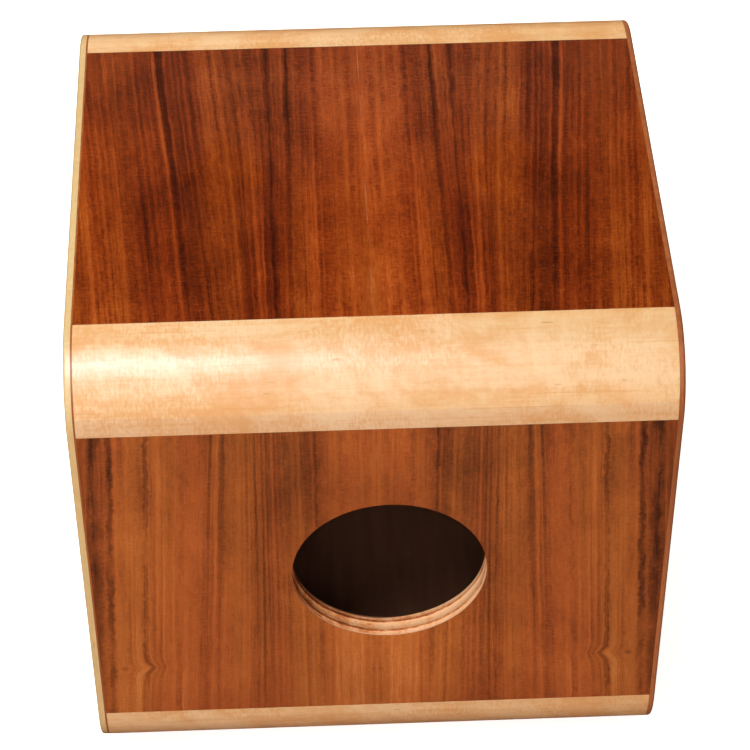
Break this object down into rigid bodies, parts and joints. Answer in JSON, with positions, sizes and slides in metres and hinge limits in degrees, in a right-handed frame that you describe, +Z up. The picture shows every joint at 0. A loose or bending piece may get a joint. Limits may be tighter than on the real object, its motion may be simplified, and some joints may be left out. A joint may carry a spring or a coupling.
{
  "type": "cajon",
  "caption": "Near-cubic box drum with rounded corner bars, a round sound hole in one wall, a struck tapa and an internal snare that turns off.",
  "frame": {"origin": "on the floor under the centre of the box's footprint", "axes": "+Z up to the seat, -Y out of the tapa, +Y out of the back plate, +X out of the sound hole wall"},
  "size_m": [0.298, 0.301, 0.3],
  "materials": {
    "seat_veneer": "satin lacquered dark red-brown veneer",
    "wall_veneer": "satin lacquered red-brown veneer",
    "maple": "gloss lacquered pale maple",
    "birch_ply": "plywood, raw cut edges, stained dark on the inner faces",
    "tapa_core_wood": "lacquered pale plate edge",
    "tapa_face": "satin lacquered pale figured maple",
    "dark_liner": "dark veneer line",
    "back_core_wood": "lacquered red-brown plate edge",
    "back_face": "satin lacquered veneer",
    "beech": "oiled beech",
    "steel_screw": "zinc plated",
    "snare_steel": "bright drawn wire",
    "foot_rubber": "matt black rubber"
  },
  "bodies": {
    "cajon_box": {"seat_core": "birch_ply", "seat_veneer_tapa_half": "seat_veneer", "seat_veneer_back_half": "seat_veneer", "hole_wall_core": "birch_ply", "hole_wall_veneer_tapa_half": "wall_veneer", "hole_wall_veneer_back_half": "wall_veneer", "far_wall_core": "birch_ply", "far_wall_veneer_tapa_half": "wall_veneer", "far_wall_veneer_back_half": "wall_veneer", "base_core": "birch_ply", "corner_bar_seat_hole_side": "maple", "corner_bar_seat_far_side": "maple", "corner_bar_base_hole_side": "maple", "corner_bar_base_far_side": "maple", "corner_splines": "beech", "tapa_core": "tapa_core_wood", "tapa_face_veneer": "tapa_face", "tapa_liner": "dark_liner", "tapa_screws": "steel_screw", "back_plate_core": "back_core_wood", "back_plate_face_veneer": "back_face", "foot_tapa_hole_side": "foot_rubber", "foot_tapa_far_side": "foot_rubber", "foot_back_hole_side": "foot_rubber", "foot_back_far_side": "foot_rubber", "foot_washers": "steel_screw", "foot_screws": "steel_screw", "bearing_block_hole_side": "beech", "bearing_block_far_side": "beech", "bearing_block_screws": "steel_screw"},
    "snare": {"snare_dowel": "beech", "snare_plate_hole_side": "snare_steel", "snare_plate_far_side": "snare_steel", "snare_plate_screws": "steel_screw", "snare_wires_hole_side": "snare_steel", "snare_wires_far_side": "snare_steel"}
  },
  "joints": [
    {"name": "snare_turn", "type": "hinge", "parent": "cajon_box", "child": "snare", "pos_m": [0, -0.1365, 0.15], "axis": [-1, 0, 0], "range_deg": [0, 20]}
  ]
}
